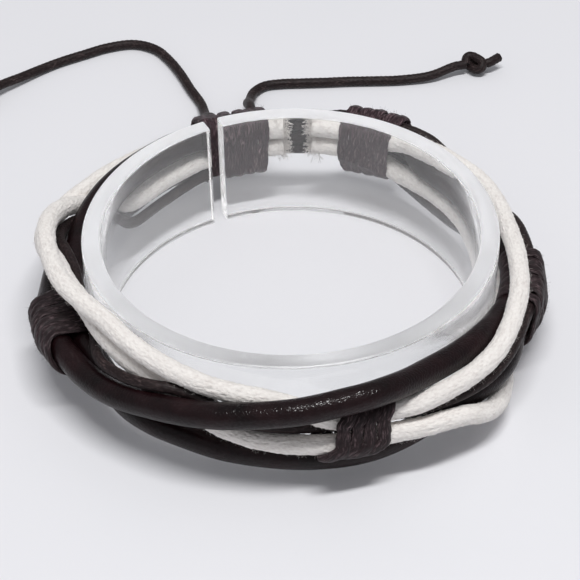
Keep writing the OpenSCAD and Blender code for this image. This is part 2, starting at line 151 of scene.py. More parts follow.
TAIL_RIGHT_ROUTE: Rows = (
    (-6.4, 40.6, 13.4), (-6.8, 44.8, 12.4), (-7.2, 50.4, 9), (-7.4, 56, 5), (-7.2, 61.4, 2),
    (-6.4, 65.6, 1.1), (-4.4, 67.8, 1), (-1.2, 68.5, 1), (2.4, 68.6, 1), (7, 68.7, 1),
    (12.1, 68.9, 1), (17, 68.9, 1), (21.7, 69, 1), (27.6, 69.8, 1.3), (32.4, 71.8, 2),
    (34.6, 72.4, 2),
)

# The knot's line, in millimetres: along the tail from its end, across it and up
KNOT_ROUTE: Rows = (
    (0.0, 0.0, 0.0), (0.35, 0.8, 0.45), (0.9, 1.4, 0.75), (1.6, 1.2, 0.9), (2.4, 0.2, 0.85),
    (3.0, -1.0, 0.55), (2.7, -1.8, -0.05), (1.9, -1.55, -0.55), (1.25, -0.5, -0.75), (1.1, 0.5, -0.7),
    (1.7, 0.95, -0.45), (2.6, 0.3, -0.2), (3.5, -0.8, 0.05), (4.5, -1.05, 0.25), (5.5, -0.75, 0.4),
    (6.8, -0.2, 0.5),
)


# ---------------------------------------------------------------------------
# Paths
# ---------------------------------------------------------------------------

# What a path with no given side measures its first section from; no route starts along it
FIRST_SIDE = (0.3, 0.2, 0.93)


def unit(vectors: Array) -> Array:
    """Rows of vectors, each brought to length one."""
    return vectors / np.maximum(np.linalg.norm(vectors, axis=-1, keepdims=True), 1e-12)


def distances(points: Array) -> Array:
    """How far along a line each of its points lies."""
    return np.concatenate([[0], np.cumsum(np.linalg.norm(np.diff(points, axis=0), axis=1))])


def through(rows: Rows, keys: Array, at: Array) -> Array:
    """Reads a smooth curve through a table's rows.

    Args:
        rows: The table, one row for each key.
        keys: The key of each row, rising.
        at: The keys to read the curve at.

    Returns:
        One row for each key in at.
    """
    values = np.asarray(rows, float)
    order = np.arange(len(keys))
    low, high = np.maximum(order - 1, 0), np.minimum(order + 1, len(keys) - 1)
    slopes = (values[high] - values[low]) / (keys[high] - keys[low])[:, None]
    index = np.clip(np.searchsorted(keys, at, side="right") - 1, 0, len(keys) - 2)
    span = (keys[index + 1] - keys[index])[:, None]
    u = np.clip((at - keys[index])[:, None] / span, 0, 1)
    return (
        values[index] * (2 * u**3 - 3 * u**2 + 1)
        + values[index + 1] * (3 * u**2 - 2 * u**3)
        + slopes[index] * span * (u**3 - 2 * u**2 + u)
        + slopes[index + 1] * span * (u**3 - u**2)
    )


def read_route(rows: Rows, at: Array) -> Array:
    """Distance outside the ring and height on a cord's route, for angles in degrees."""
    return through([row[1:] for row in rows], np.array([row[0] for row in rows], float), at)


def round_ring(angles: Array, out: Array, height: Array) -> Array:
    """Points round the ring, in metres, from angles in degrees and millimetres."""
    a = np.radians(angles)
    return np.stack([(RING_RADIUS + out) * np.cos(a), (RING_RADIUS + out) * np.sin(a), height], -1) * MM


@dataclass(frozen=True)
class Path:
    """A line that a strand follows, with the direction that its section is measured from."""

    points: Array
    sides: Array

    @property
    def length(self) -> float:
        """Length along the points, in metres."""
        return float(np.linalg.norm(np.diff(self.points, axis=0), axis=1).sum())


def looped_path(rows: Rows, step: float = 0.5) -> Path:
    """The path of a cord that goes round the ring.

    Args:
        rows: The cord's route table.
        step: Largest angle between two points, in degrees.

    Returns:
        The path, its sides pointing away from the ring's axis.
    """
    first, last = float(rows[0][0]), float(rows[-1][0])
    angles = np.linspace(first, last, int((last - first) / step) + 1)
    values = read_route(rows, angles)
    a = np.radians(angles)
    sides = np.stack([np.cos(a), np.sin(a), np.zeros_like(a)], -1)
    return Path(round_ring(angles, values[:, 0], values[:, 1]), sides)


def smooth_path(points: Array, side: Sequence[float] | None = None, fine: int = 8) -> Path:
    """A smooth path through points in metres.

    Args:
        points: The points that it passes.
        side: The direction that the section is measured from; carried along the path where there is none.
        fine: Points made for each stretch.

    Returns:
        The path.
    """
    points = np.asarray(points, float)
    keys = distances(points)
    dense = through(points, keys, np.linspace(0, keys[-1], (len(points) - 1) * fine + 1))
    if side is not None:
        return Path(dense, np.tile(np.asarray(side, float), (len(dense), 1)))
    tangents = unit(np.gradient(dense, axis=0))
    sides = [unit(np.cross(tangents[0], FIRST_SIDE))]
    for tangent in tangents[1:]:
        sides.append(unit(sides[-1] - tangent * np.dot(sides[-1], tangent)))
    return Path(dense, np.array(sides))


# ---------------------------------------------------------------------------
# Node trees
# ---------------------------------------------------------------------------

GEOMETRY, NUMBER, WHOLE = "NodeSocketGeometry", "NodeSocketFloat", "NodeSocketInt"
VECTOR, MATERIAL = "NodeSocketVector", "NodeSocketMaterial"


class Nodes:
    """Short ways of adding nodes to a tree; a value may be a socket or a constant."""

    def __init__(self, tree: bpy.types.NodeTree) -> None:
        """Keeps the tree that nodes are added to."""
        self.tree = tree

    def add(self, kind: str, values: dict[Any, Any] | None = None, **settings: Any) -> bpy.types.Node:
        """Adds a node.

        Args:
            kind: The node's type.
            values: Socket name or number, with its value or the socket that feeds it.
            settings: The node's own settings.

        Returns:
            The node.
        """
        node = self.tree.nodes.new(kind)
        for name, value in settings.items():
            setattr(node, name, value)
        self.feed(node, values or {})
        return node

    def feed(self, node: bpy.types.Node, values: dict[Any, Any]) -> None:
        """Feeds a node's inputs.

        Args:
            node: The node.
            values: Socket name or number, with its value or the socket that feeds it.
        """
        for key, value in values.items():
            if isinstance(value, bpy.types.NodeSocket):
                self.tree.links.new(value, node.inputs[key])
            else:
                node.inputs[key].default_value = value

    def math(self, operation: str, *values: Any) -> bpy.types.NodeSocket:
        """The result of a sum on numbers."""
        return self.add("ShaderNodeMath", dict(enumerate(values)), operation=operation).outputs[0]

    def product(self, *values: Any) -> bpy.types.NodeSocket:
        """Numbers multiplied, from left to right."""
        return reduce(lambda one, two: self.math("MULTIPLY", one, two), values)

    def total(self, *values: Any) -> bpy.types.NodeSocket:
        """Numbers added, from left to right."""
        return reduce(lambda one, two: self.math("ADD", one, two), values)

    def vector(self, operation: str, *values: Any) -> bpy.types.NodeSocket:
        """The result of a sum on vectors.

        Args:
            operation: The sum.
            values: What goes into it, in order; the second is the number where a vector is scaled.

        Returns:
            The vector, or the number where the sum gives one.
        """
        keys = (0, "Scale") if operation == "SCALE" else range(len(values))
        node = self.add("ShaderNodeVectorMath", dict(zip(keys, values)), operation=operation)
        return node.outputs["Value" if operation in ("DOT_PRODUCT", "LENGTH") else "Vector"]

    def combine(self, x: Any, y: Any, z: Any) -> bpy.types.NodeSocket:
        """A vector from three numbers."""
        return self.add("ShaderNodeCombineXYZ", {0: x, 1: y, 2: z}).outputs[0]

    def scaled(
        self, value: Any, low: Any, high: Any, new_low: Any = 0.0, new_high: Any = 1.0
    ) -> bpy.types.NodeSocket:
        """A number moved from one range to another and kept inside it."""
        return self.add("ShaderNodeMapRange", {0: value, 1: low, 2: high, 3: new_low, 4: new_high}).outputs[0]

    def noise(self, vector: Any, scale: Any, detail: float, roughness: float = 0.5) -> bpy.types.NodeSocket:
        """A soft random pattern, from 0 to 1."""
        values = {"Vector": vector, "Scale": scale, "Detail": detail, "Roughness": roughness}
        return self.add("ShaderNodeTexNoise", values).outputs[0]


def group_sockets(tree: bpy.types.NodeTree, inputs: dict[str, tuple], outputs: dict[str, str]) -> None:
    """Gives a node group its named sockets.

    Args:
        tree: The group.
        inputs: Each input's name, with its kind and its value, or None where it has no value.
        outputs: Each output's name, with its kind.
    """
    for name, (kind, value) in inputs.items():
        socket = tree.interface.new_socket(name, in_out="INPUT", socket_type=kind)
        if value is not None:
            socket.default_value = value
    for name, kind in outputs.items():
        tree.interface.new_socket(name, in_out="OUTPUT", socket_type=kind)


class StrandTree:
    """Geometry Nodes that sweep a strand along a polyline, with its braided yarns in relief."""

    NAME = "strand"
    SECTION_RADIUS = 1 * MM
    YARN_ROUNDNESS = 0.6
    END_SHARE = 0.6
    PARITY_OFFSET = 1000.0

    def __init__(self) -> None:
        """Builds the tree."""
        self.tree = bpy.data.node_groups.new(self.NAME, "GeometryNodeTree")
        group_sockets(
            self.tree,
            {
                "Geometry": (GEOMETRY, None),
                "Step": (NUMBER, 0.3 * MM),
                "Sides": (WHOLE, 32),
                "Yarns": (NUMBER, 0.0),
                "Yarn Depth": (NUMBER, 0.0),
                "Lay": (NUMBER, 10 * MM),
                "Uneven": (NUMBER, 0.0),
                "Uneven Size": (NUMBER, 4 * MM),
                "Crumple": (NUMBER, 0.0),
                "Crumple Size": (NUMBER, 0.6 * MM),
                "Seed": (NUMBER, 0.0),
                "Material": (MATERIAL, None),
            },
            {"Geometry": GEOMETRY},
        )
        self._build(Nodes(self.tree))

    @staticmethod
    def _stored(n: Nodes, geometry: Any, name: str, kind: str, value: Any) -> bpy.types.NodeSocket:
        """Geometry with a named value on its points."""
        values = {"Geometry": geometry, "Name": name, "Value": value}
        return n.add("GeometryNodeStoreNamedAttribute", values, data_type=kind, domain="POINT").outputs[0]

    @staticmethod
    def _named(n: Nodes, name: str, kind: str = "FLOAT") -> bpy.types.NodeSocket:
        """A named value read from the points."""
        return n.add("GeometryNodeInputNamedAttribute", {"Name": name}, data_type=kind).outputs["Attribute"]

    def _relief(self, n: Nodes, given: Any, turn: Any, along: Any) -> bpy.types.NodeSocket:
        """The height of the braided yarns.

        Args:
            n: What adds the nodes.
            given: The tree's inputs.
            turn: The way round the section, in radians.
            along: The way along the strand, in metres.

        Returns:
            The height, from 1 on a crest down by the yarns' depth in a groove.
        """
        share = n.math("DIVIDE", turn, 2 * math.pi)
        lay = n.math("DIVIDE", along, given["Lay"])
        yarns = [n.product(given["Yarns"], n.math(way, share, lay)) for way in ("SUBTRACT", "ADD")]
        steps = [n.math("FLOOR", yarn) for yarn in yarns]
        crossing = n.total(steps[0], n.total(steps[1], self.PARITY_OFFSET))
        over = n.math("MODULO", crossing, 2.0)
        one, two = (
            n.math("POWER", n.math("ABSOLUTE", n.math("SINE", n.product(yarn, math.pi))), self.YARN_ROUNDNESS)
            for yarn in yarns
        )
        top = n.add("ShaderNodeMix", {0: over, 2: one, 3: two}, data_type="FLOAT").outputs[0]
        end = n.add("ShaderNodeMix", {0: over, 2: two, 3: one}, data_type="FLOAT").outputs[0]
        yarn = n.product(top, n.math("MULTIPLY_ADD", end, self.END_SHARE, 1 - self.END_SHARE))
        return n.math("SUBTRACT", 1.0, n.product(given["Yarn Depth"], n.math("SUBTRACT", 1.0, yarn)))

    def _swept(self, n: Nodes, given: Any) -> bpy.types.NodeSocket:
        """A plain tube along the line, which carries the line's own values on its points.

        Args:
            n: What adds the nodes.
            given: The tree's inputs.

        Returns:
            The tube.
        """
        line = n.add("GeometryNodeMeshToCurve", {0: given["Geometry"]}).outputs[0]
        steps = {0: line, "Length": given["Step"]}
        line = n.add("GeometryNodeResampleCurve", steps, mode="LENGTH").outputs[0]
        for name, kind, value in (
            ("along", "FLOAT", n.add("GeometryNodeSplineParameter").outputs["Length"]),
            ("centre", "FLOAT_VECTOR", n.add("GeometryNodeInputPosition").outputs[0]),
            ("tangent", "FLOAT_VECTOR", n.add("GeometryNodeInputTangent").outputs[0]),
        ):
            line = self._stored(n, line, name, kind, value)
        circle = n.add(
            "GeometryNodeCurvePrimitiveCircle", {"Resolution": given["Sides"], "Radius": self.SECTION_RADIUS}
        ).outputs[0]
        share = n.math("DIVIDE", n.add("GeometryNodeInputIndex").outputs[0], given["Sides"])
        circle = self._stored(n, circle, "turn", "FLOAT", n.product(share, 2 * math.pi))
        return n.add(
            "GeometryNodeCurveToMesh", {"Curve": line, "Profile Curve": circle, "Fill Caps": True}
        ).outputs[0]

    def _build(self, n: Nodes) -> None:
        """Adds and joins the nodes.

        Args:
            n: What adds them.
        """
        given = n.add("NodeGroupInput").outputs
        swept = self._swept(n, given)
        turn, along, half_out, half_side = (
            self._named(n, name) for name in ("turn", "along", "half_out", "half_side")
        )
        centre, tangent, side = (
            self._named(n, name, "FLOAT_VECTOR") for name in ("centre", "tangent", "side")
        )
        across = n.vector("NORMALIZE", n.vector("CROSS_PRODUCT", tangent, side))
        outward_way = n.vector("CROSS_PRODUCT", across, tangent)
        relief = self._relief(n, given, turn, along)
        cosine, sine = n.math("COSINE", turn), n.math("SINE", turn)
        shape = n.vector(
            "ADD",
            n.vector("SCALE", outward_way, n.product(cosine, half_out)),
            n.vector("SCALE", across, n.product(sine, half_side)),
        )
        spot = n.vector("ADD", n.vector("ADD", centre, shape), n.combine(given["Seed"], 0.0, 0.0))
        grow: Any = 1.0
        for amount, size, detail in (("Uneven", "Uneven Size", 1.0), ("Crumple", "Crumple Size", 2.0)):
            noise = n.noise(spot, n.math("DIVIDE", 1.0, given[size]), detail)
            grow = n.total(grow, n.product(n.math("SUBTRACT", noise, 0.5), given[amount]))
        placed = n.vector("ADD", centre, n.vector("SCALE", shape, n.product(relief, grow)))
        swept = n.add("GeometryNodeSetPosition", {"Geometry": swept, "Position": placed}).outputs[0]
        space = n.combine(n.product(cosine, half_side), n.product(sine, half_side), along)
        swept = self._stored(n, swept, "cord_space", "FLOAT_VECTOR", space)
        # crest: the relief's height, by which the cotton and waxed finishes paint shade into the grooves
        swept = self._stored(n, swept, "crest", "FLOAT", relief)
        end_tree(n, swept, given["Material"])


class FibreTree:
    """Geometry Nodes that set short bent fibres on a surface, apart from where it faces the ring's axis."""

    NAME = "fibres"
    INWARD = -0.3
    KNEE = 0.6
    FULL_TURN = 6.283
    SHORTEST, LONGEST = 0.35, 1.25
    SPIN_SEED, SIZE_SEED = 7.0, 13.0

    def __init__(self) -> None:
        """Builds the tree."""
        self.tree = bpy.data.node_groups.new(self.NAME, "GeometryNodeTree")
        group_sockets(
            self.tree,
            {
                "Geometry": (GEOMETRY, None),
                "Density": (NUMBER, 1e6),
                "Length": (NUMBER, 0.8 * MM),
                "Thickness": (NUMBER, 0.02 * MM),
                "Stray": (NUMBER, 1.0),
                "Bend": (NUMBER, 0.4),
                "Seed": (WHOLE, 1),
                "Material": (MATERIAL, None),
            },
            {"Geometry": GEOMETRY},
        )
        self._build(Nodes(self.tree))

    def _fibre(self, n: Nodes, given: Any) -> bpy.types.NodeSocket:
        """One bent fibre of length one, with its foot at the origin.

        Args:
            n: What adds the nodes.
            given: The tree's inputs.

        Returns:
            The fibre.
        """
        bend = {
            "Resolution": 3, "Start": (0, 0, 0), "Middle": (0, 0, self.KNEE),
            "End": n.combine(given["Bend"], 0.0, 1.0),
        }
        line = n.add("GeometryNodeCurveQuadraticBezier", bend).outputs[0]
        ratio = n.math("DIVIDE", given["Thickness"], given["Length"])
        section = n.add("GeometryNodeCurvePrimitiveCircle", {"Resolution": 3, "Radius": ratio}).outputs[0]
        return n.add(
            "GeometryNodeCurveToMesh", {"Curve": line, "Profile Curve": section, "Fill Caps": True}
        ).outputs[0]

    def _chance(self, n: Nodes, given: Any, low: float, high: float, apart: float) -> bpy.types.NodeSocket:
        """A random number for each fibre, from a seed set apart from the tree's own."""
        values = {2: low, 3: high, "Seed": n.total(given["Seed"], apart)}
        return n.add("FunctionNodeRandomValue", values, data_type="FLOAT").outputs[1]

    def _build(self, n: Nodes) -> None:
        """Adds and joins the nodes.

        Args:
            n: What adds them.
        """
        given = n.add("NodeGroupInput").outputs
        scatter = n.add(
            "GeometryNodeDistributePointsOnFaces",
            {"Mesh": given["Geometry"], "Density": given["Density"], "Seed": given["Seed"]},
            distribute_method="RANDOM",
        ).outputs
        level = n.vector("MULTIPLY", n.add("GeometryNodeInputPosition").outputs[0], (1.0, 1.0, 0.0))
        facing = n.vector("DOT_PRODUCT", scatter["Normal"], n.vector("NORMALIZE", level))
        kept = n.add(
            "GeometryNodeDeleteGeometry",
            {"Geometry": scatter["Points"], "Selection": n.math("LESS_THAN", facing, self.INWARD)},
            domain="POINT",
        ).outputs[0]
        drift = n.add(
            "FunctionNodeRandomValue",
            {0: (-1.0, -1.0, -1.0), 1: (1.0, 1.0, 1.0), "Seed": given["Seed"]},
            data_type="FLOAT_VECTOR",
        ).outputs[0]
        lean = n.vector("ADD", scatter["Normal"], n.vector("SCALE", drift, given["Stray"]))
        spin = n.combine(0.0, 0.0, self._chance(n, given, 0.0, self.FULL_TURN, self.SPIN_SEED))
        start = n.add("FunctionNodeEulerToRotation", {0: spin}).outputs[0]
        rotation = n.add(
            "FunctionNodeAlignRotationToVector", {"Rotation": start, "Vector": lean}, axis="Z"
        ).outputs[0]
        size = self._chance(n, given, self.SHORTEST, self.LONGEST, self.SIZE_SEED)
        placed = n.add(
            "GeometryNodeInstanceOnPoints",
            {
                "Points": kept,
                "Instance": self._fibre(n, given),
                "Rotation": rotation,
                "Scale": n.product(size, given["Length"]),
            },
        ).outputs[0]
        end_tree(n, placed, given["Material"])


def end_tree(n: Nodes, geometry: bpy.types.NodeSocket, material: bpy.types.NodeSocket) -> None:
    """Ends a tree: smooth, with every instance made real, and dressed.

    Args:
        n: What adds the nodes.
        geometry: What the tree has made.
        material: The socket that gives its material.
    """
    for kind in ("GeometryNodeRealizeInstances", "GeometryNodeSetShadeSmooth"):
        geometry = n.add(kind, {"Geometry": geometry}).outputs[0]
    dressed = n.add("GeometryNodeSetMaterial", {"Geometry": geometry, "Material": material}).outputs[0]
    n.add("NodeGroupOutput", {0: dressed})


def run_tree(obj: bpy.types.Object, tree: bpy.types.NodeTree, values: dict[str, Any]) -> bpy.types.Object:
    """Runs a Geometry Nodes tree on an object and leaves the result as its plain mesh.

    Args:
        obj: The object, whose mesh is the tree's start.
        tree: The tree.
        values: The tree's inputs by name.

    Returns:
        The object, with no modifier left on it.
    """
    modifier = obj.modifiers.new(tree.name, "NODES")
    modifier.node_group = tree
    for item in tree.interface.items_tree:
        if item.item_type == "SOCKET" and item.in_out == "INPUT" and item.name in values:
            modifier[item.identifier] = values[item.name]
    depsgraph = bpy.context.evaluated_depsgraph_get()
    mesh = bpy.data.meshes.new_from_object(obj.evaluated_get(depsgraph), depsgraph=depsgraph)
    obj.modifiers.remove(modifier)
    mesh.name = obj.name
    obj.data = mesh
    return obj


def tree_values(settings: Any) -> dict[str, Any]:
    """A dataclass's values under the names that the trees' inputs have."""
    return {entry.name.replace("_", " ").title(): getattr(settings, entry.name) for entry in fields(settings)}


def linked(name: str, mesh: bpy.types.Mesh) -> bpy.types.Object:
    """A new object in the scene, at the origin.

    Args:
        name: Its name.
        mesh: Its mesh.

    Returns:
        The object.
    """
    obj = bpy.data.objects.new(name, mesh)
    bpy.context.scene.collection.objects.link(obj)
    return obj


def corner_points(mesh: bpy.types.Mesh) -> Array:
    """Reads the places of a mesh's points.

    Args:
        mesh: The mesh.

    Returns:
        One row for each point.
    """
    places = np.empty(len(mesh.vertices) * 3)
    mesh.vertices.foreach_get("co", places)
    return places.reshape(-1, 3)


def outward(mesh: bpy.types.Mesh) -> None:
    """Turns a closed mesh right side out.

    Args:
        mesh: The mesh, whose volume is below zero where it is inside out.
    """
    mesh.calc_loop_triangles()
    corners = np.empty(len(mesh.loop_triangles) * 3, int)
    mesh.loop_triangles.foreach_get("vertices", corners)
    a, b, c = (corner_points(mesh)[corners.reshape(-1, 3)[:, i]] for i in range(3))
    if np.einsum("ij,ij->i", a, np.cross(b, c)).sum() < 0:
        mesh.flip_normals()


@dataclass
class Trees:
    """The Geometry Nodes trees, built once."""

    strand: StrandTree = field(default_factory=StrandTree)
    fibre: FibreTree = field(default_factory=FibreTree)


TREES = Trees()


@dataclass(frozen=True)
class Strand:
    """How a strand is made: its section and its relief, in metres and shares of its radius."""

    radius: float
    sides: int = 32
    step: float = 0.3 * MM
    yarns: float = 0.0
    yarn_depth: float = 0.0
    lay: float = 10 * MM
    uneven: float = 0.0
    uneven_size: float = 4 * MM
    crumple: float = 0.0
    crumple_size: float = 0.6 * MM

    def build(
        self, name: str, path: Path, material: bpy.types.Material, seed: float,
        half_out: Array | None = None, half_side: Array | None = None,
    ) -> bpy.types.Object:
        """Sweeps the strand along a path.

        Args:
            name: The object's name.
            path: The path.
            material: Its material.
            seed: What sets its unevenness apart.
            half_out: Half thickness at each point where the strand is pressed flat.
            half_side: Half width at each point where the strand is pressed flat.

        Returns:
            The object, with a plain mesh.
        """
        count = len(path.points)
        mesh = bpy.data.meshes.new(name + "_line")
        mesh.from_pydata(path.points.tolist(), [(i, i + 1) for i in range(count - 1)], [])
        even = np.full(count, self.radius)
        for label, values in (("half_out", half_out), ("half_side", half_side)):
            layer = mesh.attributes.new(label, "FLOAT", "POINT")
            layer.data.foreach_set("value", np.asarray(even if values is None else values, np.float32))
        layer = mesh.attributes.new("side", "FLOAT_VECTOR", "POINT")
        layer.data.foreach_set("vector", np.asarray(path.sides, np.float32).ravel())
        values = tree_values(self) | {"Seed": seed, "Material": material}
        obj = run_tree(linked(name, mesh), TREES.strand.tree, values)
        for label in ("side", "half_out", "half_side", "along", "centre", "tangent", "turn"):
            if label in obj.data.attributes:
                obj.data.attributes.remove(obj.data.attributes[label])
        outward(obj.data)
        return obj


@dataclass(frozen=True)
class Fibres:
    """How short loose fibres stand off a cord: how many on a square metre, and their sizes in metres."""

    density: float
    length: float
    thickness: float
    stray: float = 1.4
    bend: float = 0.6

    def build(self, base: bpy.types.Object, material: bpy.types.Material, seed: int) -> bpy.types.Object:
        """Sets the fibres on a cord.

        Args:
            base: The cord.
            material: Their material.
            seed: What sets their places apart.

        Returns:
            The fibres as one object.
        """
        values = tree_values(self) | {"Seed": seed, "Material": material}
        return run_tree(linked(base.name + "_fibres", base.data.copy()), TREES.fibre.tree, values)


# ---------------------------------------------------------------------------
# Finishes
# ---------------------------------------------------------------------------


class Effects:
    """Shader node groups that more than one finish uses."""

    FINE_DETAIL, FINE_ROUGHNESS = 3.0, 0.6
    BROAD_SCALE, BROAD_SHARE = 0.3, 0.8
    THREAD_RANGE = (0.48, 0.72)
    BLOTCH_DETAIL, BLOTCH_ROUGHNESS = 4.0, 0.65
    BLOTCH_RANGE = (0.3, 0.7)

    def __init__(self) -> None:
        """Builds the groups."""
        self.threads = self._threads()
        self.blotches = self._blotches()

    @staticmethod
    def _group(name: str, inputs: dict[str, tuple], outputs: dict[str, str]) -> tuple[Nodes, Any, Any]:
        """An empty group with its sockets.

        Args:
            name: The group's name.
            inputs: Each input's name, with its kind and its value.
            outputs: Each output's name, with its kind.

        Returns:
            What adds its nodes, what the group is given and the node that takes its results.
        """
        tree = bpy.data.node_groups.new(name, "ShaderNodeTree")
        group_sockets(tree, inputs, outputs)
        n = Nodes(tree)
        return n, n.add("NodeGroupInput").outputs, n.add("NodeGroupOutput")

    def _threads(self) -> bpy.types.NodeTree:
        """Fine fibres that run along a cord: a mask and a height.

        Returns:
            The group.
        """
        inputs = {"Vector": (VECTOR, None), "Scale": (NUMBER, 4000.0), "Stretch": (NUMBER, 0.12)}
        n, given, result = self._group("threads", inputs, {"Mask": NUMBER, "Height": NUMBER})
        squeezed = n.vector("MULTIPLY", given["Vector"], n.combine(1.0, 1.0, given["Stretch"]))
        fine = n.noise(squeezed, given["Scale"], self.FINE_DETAIL, self.FINE_ROUGHNESS)
        broad = n.noise(squeezed, n.product(given["Scale"], self.BROAD_SCALE), detail=1.0)
        height = n.total(fine, n.product(broad, self.BROAD_SHARE))
        n.feed(result, {"Mask": n.scaled(fine, *self.THREAD_RANGE), "Height": height})
        return n.tree

    def _blotches(self) -> bpy.types.NodeTree:
        """Slow and quick changes of tone over a surface.

        Returns:
            The group.
        """
        inputs = {"Vector": (VECTOR, None), "Size": (NUMBER, 4 * MM)}
        n, given, result = self._group("blotches", inputs, {"Mask": NUMBER})
        scale = n.math("DIVIDE", 1.0, given["Size"])
        noise = n.noise(given["Vector"], scale, self.BLOTCH_DETAIL, self.BLOTCH_ROUGHNESS)
        n.feed(result, {"Mask": n.scaled(noise, *self.BLOTCH_RANGE)})
        return n.tree


EFFECTS = Effects()


@dataclass(frozen=True)
class Finish:
    """What every finish has: a name and short ways of making its material."""

    name: str

    def _start(self) -> tuple[bpy.types.Material, Nodes, bpy.types.Node]:
        """Starts the finish's material.

        Returns:
            The material, what adds its nodes, and its shader.
        """
        material = bpy.data.materials.new(self.name)
        material.use_nodes = True
        return material, Nodes(material.node_tree), material.node_tree.nodes["Principled BSDF"]

    @staticmethod
    def _mixed(n: Nodes, share: Any, one: Any, two: Any) -> bpy.types.NodeSocket:
        """Two colours mixed by a share."""
        return n.add("ShaderNodeMix", {0: share, 6: one, 7: two}, data_type="RGBA").outputs[2]

    @staticmethod
    def _bump(n: Nodes, height: Any, strength: float, depth: float) -> bpy.types.NodeSocket:
        """A normal that a height tilts, its depth in metres."""
        return n.add("ShaderNodeBump", {"Strength": strength, "Distance": depth, "Height": height}).outputs[0]


@dataclass(frozen=True)
class CordFinish(Finish):
    """What the cords' finishes share: fibres along the cord and slow changes of tone."""

    thread_scale: float = 3000.0
    thread_stretch: float = 0.3
    blotch_size: float = 3.5 * MM

    @staticmethod
    def _space(n: Nodes) -> bpy.types.NodeSocket:
        """The cord's own space: round its section and along its length, in metres."""
        return n.add("ShaderNodeAttribute", attribute_name="cord_space").outputs["Vector"]

    @staticmethod
    def _crest(n: Nodes) -> bpy.types.NodeSocket:
        """How high the relief stands, from 0 to 1."""
        return n.add("ShaderNodeAttribute", attribute_name="crest").outputs["Fac"]

    def _effects(self, n: Nodes, space: Any) -> tuple[Any, Any]:
        """The shared effects, placed in a material with this finish's own values.

        Args:
            n: What adds the nodes.
            space: The cord's own space.

        Returns:
            The outputs of the threads and of the blotches.
        """
        threads, blotches = (
            n.add("ShaderNodeGroup", node_tree=tree) for tree in (EFFECTS.threads, EFFECTS.blotches)
        )
        n.feed(threads, {"Vector": space, "Scale": self.thread_scale, "Stretch": self.thread_stretch})
        n.feed(blotches, {"Vector": space, "Size": self.blotch_size})
        return threads.outputs, blotches.outputs


@dataclass(frozen=True)
class CottonFinish(CordFinish):
    """White cotton: matt, with fine fibres and shade in the grooves."""

    light: Colour = (0.9, 0.866, 0.828, 1)
    shade: Colour = (0.58, 0.52, 0.49, 1)
    groove_range: Range = (0.965, 0.998)
    groove_tone: float = 0.22
    thread_tone: float = 0.42
    blotch_tone: float = 0.12
    roughness: Range = (0.72, 0.92)
    sheen: float = 0.25
    sheen_roughness: float = 0.5
    specular: float = 0.25
    bump: float = 1.0
    bump_depth: float = 0.24 * MM

    def make(self) -> bpy.types.Material:
        """Builds the finish's nodes.

        Returns:
            The material.
        """
        material, n, shader = self._start()
        threads, blotch = self._effects(n, self._space(n))
        # painted shade: the base colour darkens in the grooves between the yarns
        groove = n.scaled(self._crest(n), *self.groove_range, 1.0, 0.0)
        tone = n.total(
            n.product(groove, self.groove_tone), n.product(threads["Mask"], self.thread_tone),
            n.product(blotch["Mask"], self.blotch_tone),
        )
        n.feed(shader, {
            "Base Color": self._mixed(n, tone, self.light, self.shade),
            "Roughness": n.scaled(threads["Mask"], 0.0, 1.0, *self.roughness),
            "Normal": self._bump(n, threads["Height"], self.bump, self.bump_depth),
            "Sheen Weight": self.sheen,
            "Sheen Roughness": self.sheen_roughness,
            "Specular IOR Level": self.specular,
        })
        return material


@dataclass(frozen=True)
class WaxedFinish(CordFinish):
    """Dark waxed cord: fibrous, with a dull wax shine, painted shade in the grooves, and paler fibres on the
    crests that are partly wear and partly painted highlight.
    """

    # the first colour is painted shade in the grooves; the last, on the crests, is partly wear and partly
    # painted highlight
    deep: Colour = (0.007, 0.0042, 0.0042, 1)
    body: Colour = (0.0145, 0.0078, 0.0082, 1)
    worn: Colour = (0.1, 0.07, 0.068, 1)
    thread_scale: float = 3800.0
    thread_stretch: float = 0.28
    blotch_size: float = 2.2 * MM
    crest_range: Range = (0.88, 0.99)
    worn_range: Range = (0.2, 0.9)
    worn_least: float = 0.2
    roughness: Range = (0.42, 0.66)
    sheen: float = 0.04
    sheen_roughness: float = 0.4
    specular: float = 0.22
    bump: float = 0.7
    bump_depth: float = 0.1 * MM

    def make(self) -> bpy.types.Material:
        """Builds the finish's nodes.

        Returns:
            The material.
        """
        material, n, shader = self._start()
        threads, blotch = self._effects(n, self._space(n))
        # painted shade: the grooves take the darker colour, the crests the body colour
        crest = n.scaled(self._crest(n), *self.crest_range)
        colour = self._mixed(n, crest, self.deep, self.body)
        # paler fibres on the crests, in patches: partly wear, partly painted highlight
        patches = n.scaled(blotch["Mask"], *self.worn_range, self.worn_least, 1.0)
        n.feed(shader, {
            "Base Color": self._mixed(n, n.product(crest, threads["Mask"], patches), colour, self.worn),
            "Roughness": n.scaled(blotch["Mask"], 0.0, 1.0, *self.roughness),
            "Normal": self._bump(n, threads["Height"], self.bump, self.bump_depth),
            "Sheen Weight": self.sheen,
            "Sheen Roughness": self.sheen_roughness,
            "Specular IOR Level": self.specular,
        })
        return material


